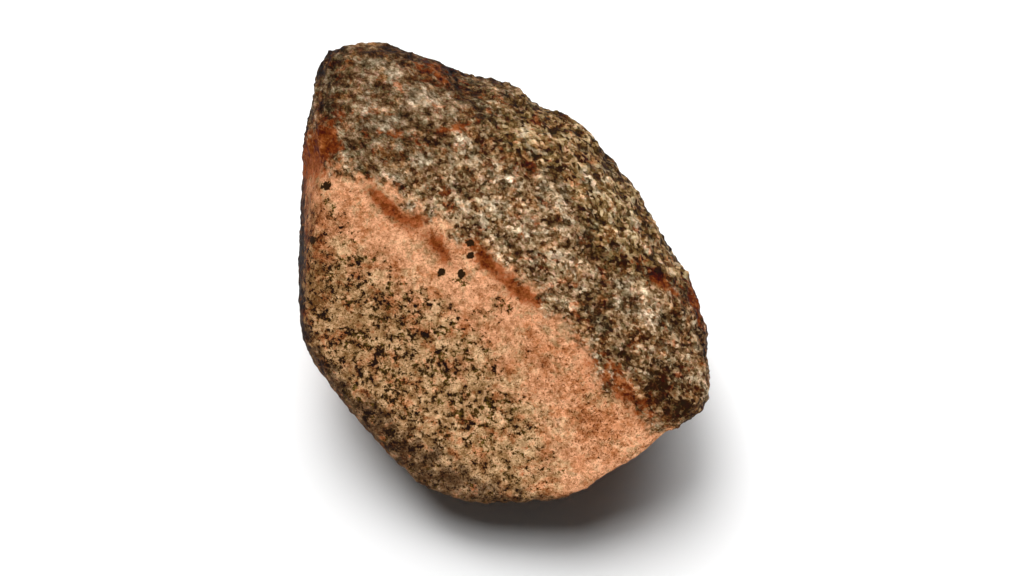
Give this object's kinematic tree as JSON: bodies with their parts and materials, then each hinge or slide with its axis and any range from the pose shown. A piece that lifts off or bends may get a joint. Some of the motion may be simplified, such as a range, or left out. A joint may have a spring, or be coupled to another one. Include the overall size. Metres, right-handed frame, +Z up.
{
  "type": "rough rock",
  "caption": "Angular hand-sized stone: a flat pink granite face speckled black meets rough grey banded gneiss along a rust-stained line, lying on a level break.",
  "frame": {"origin": "on the level resting face, straight below the heart of the stone", "axes": "+Z up from the resting face; the broad pink and grey face looks up and to the front, towards -Y and +Z; +X to its right"},
  "size_m": [0.1021, 0.1068, 0.0667],
  "materials": {
    "rock": "matte"
  },
  "bodies": {
    "root": {"rock": "rock"}
  },
  "joints": []
}
